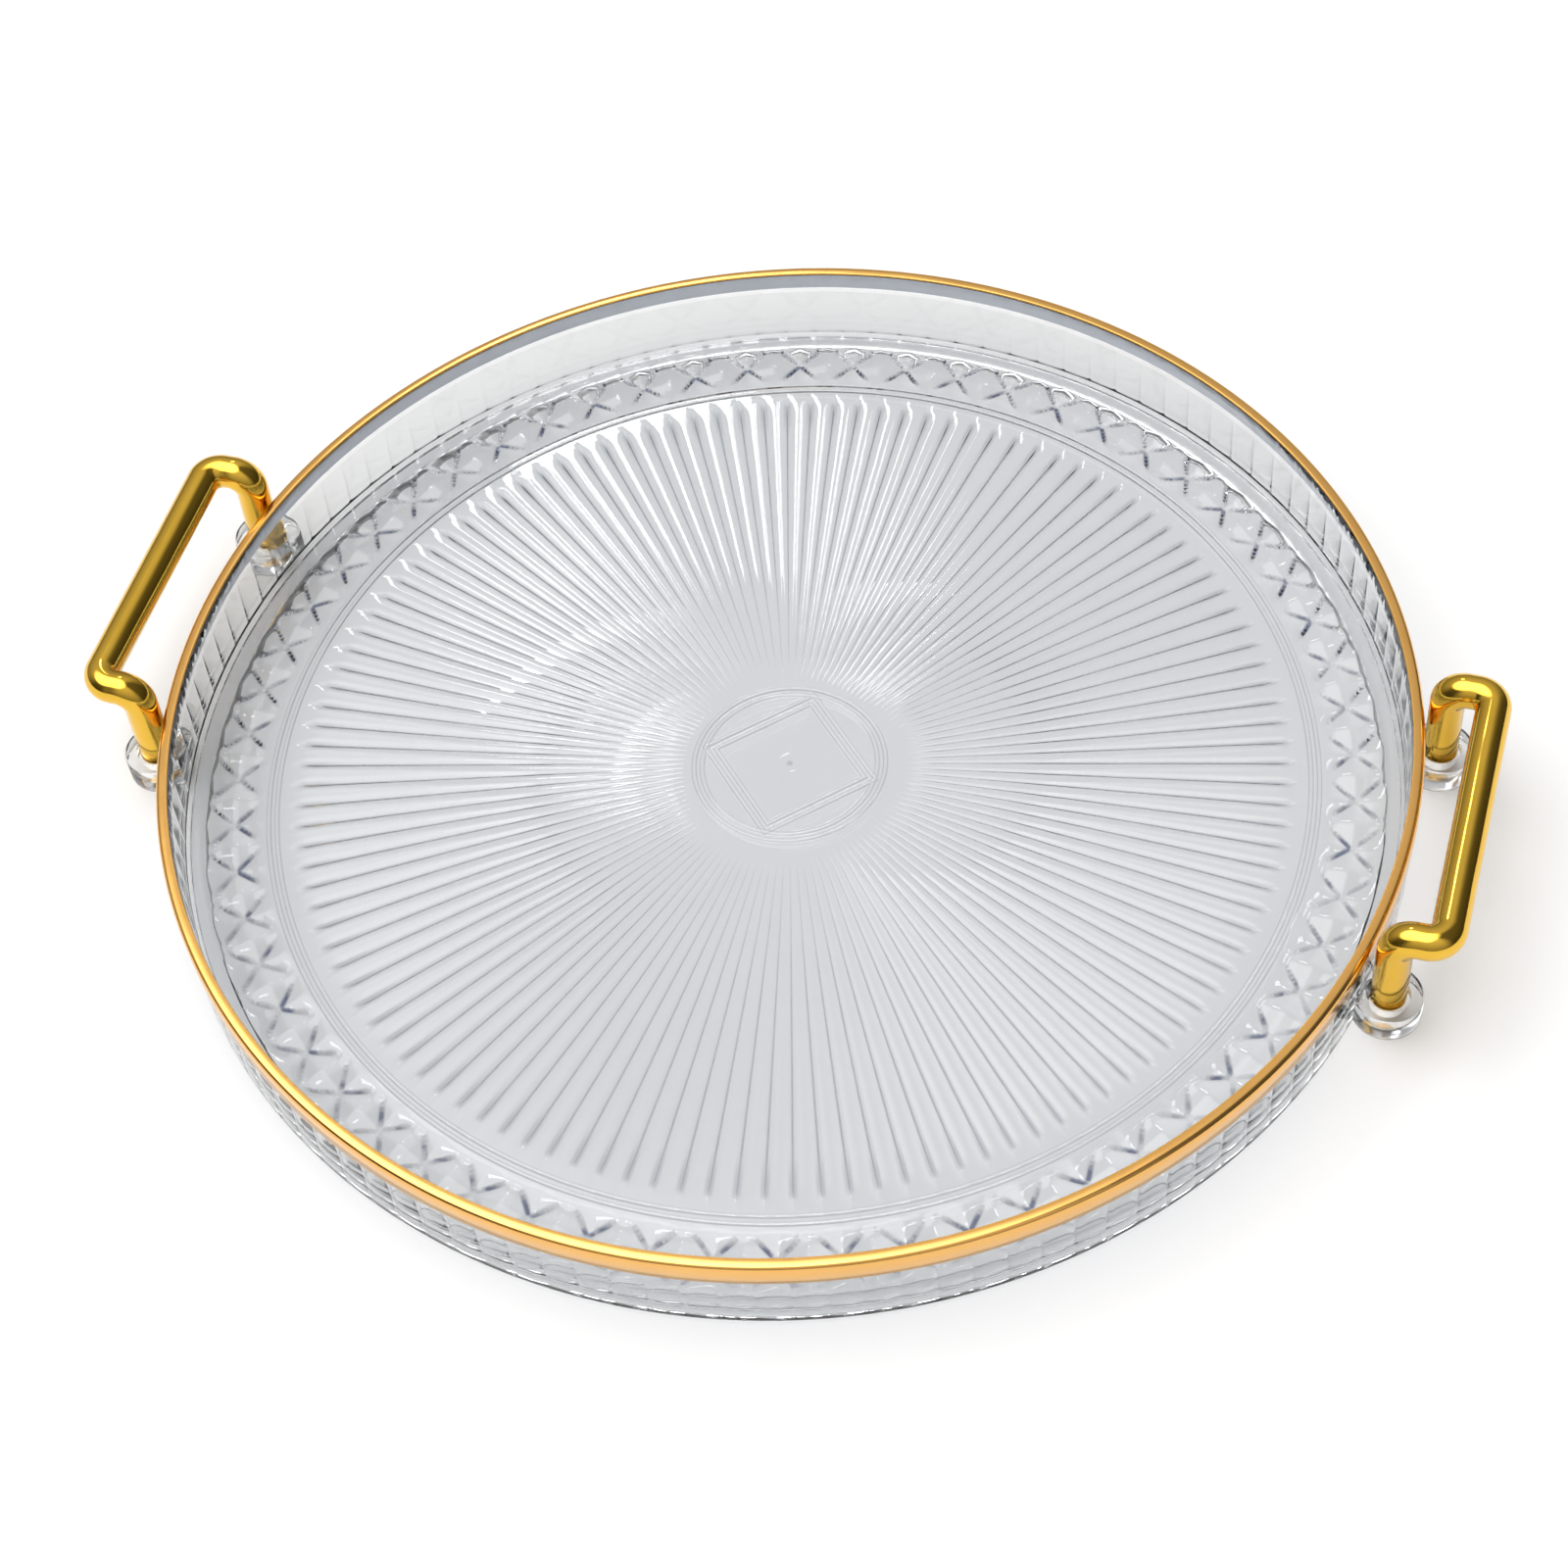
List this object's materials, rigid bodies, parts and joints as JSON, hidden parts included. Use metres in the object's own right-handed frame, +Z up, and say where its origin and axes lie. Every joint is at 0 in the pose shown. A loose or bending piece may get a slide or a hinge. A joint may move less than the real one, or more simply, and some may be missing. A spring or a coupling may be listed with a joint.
{
  "type": "vanity tray",
  "caption": "Round clear tray with a low ribbed wall, a patterned floor, a gold lip and a raised gold bar handle on each side.",
  "frame": {"origin": "centre of the foot ring, on the surface the tray stands on", "axes": "+Z up, +X through the middle of the right handle, +Y to the rear"},
  "size_m": [0.3316, 0.3, 0.037],
  "materials": {
    "clear_plastic": "clear polished moulded plastic",
    "clear_socket": "clear moulded plastic, slightly frosted",
    "gold_trim": "amber gold skin, glossy",
    "gold_bar": "polished yellow gold plating"
  },
  "bodies": {
    "root": {"tray_dish": "clear_plastic", "gold_lip": "gold_trim", "handle_left": "gold_bar", "handle_right": "gold_bar", "socket_left_front": "clear_socket", "socket_left_rear": "clear_socket", "socket_right_front": "clear_socket", "socket_right_rear": "clear_socket"}
  },
  "joints": []
}
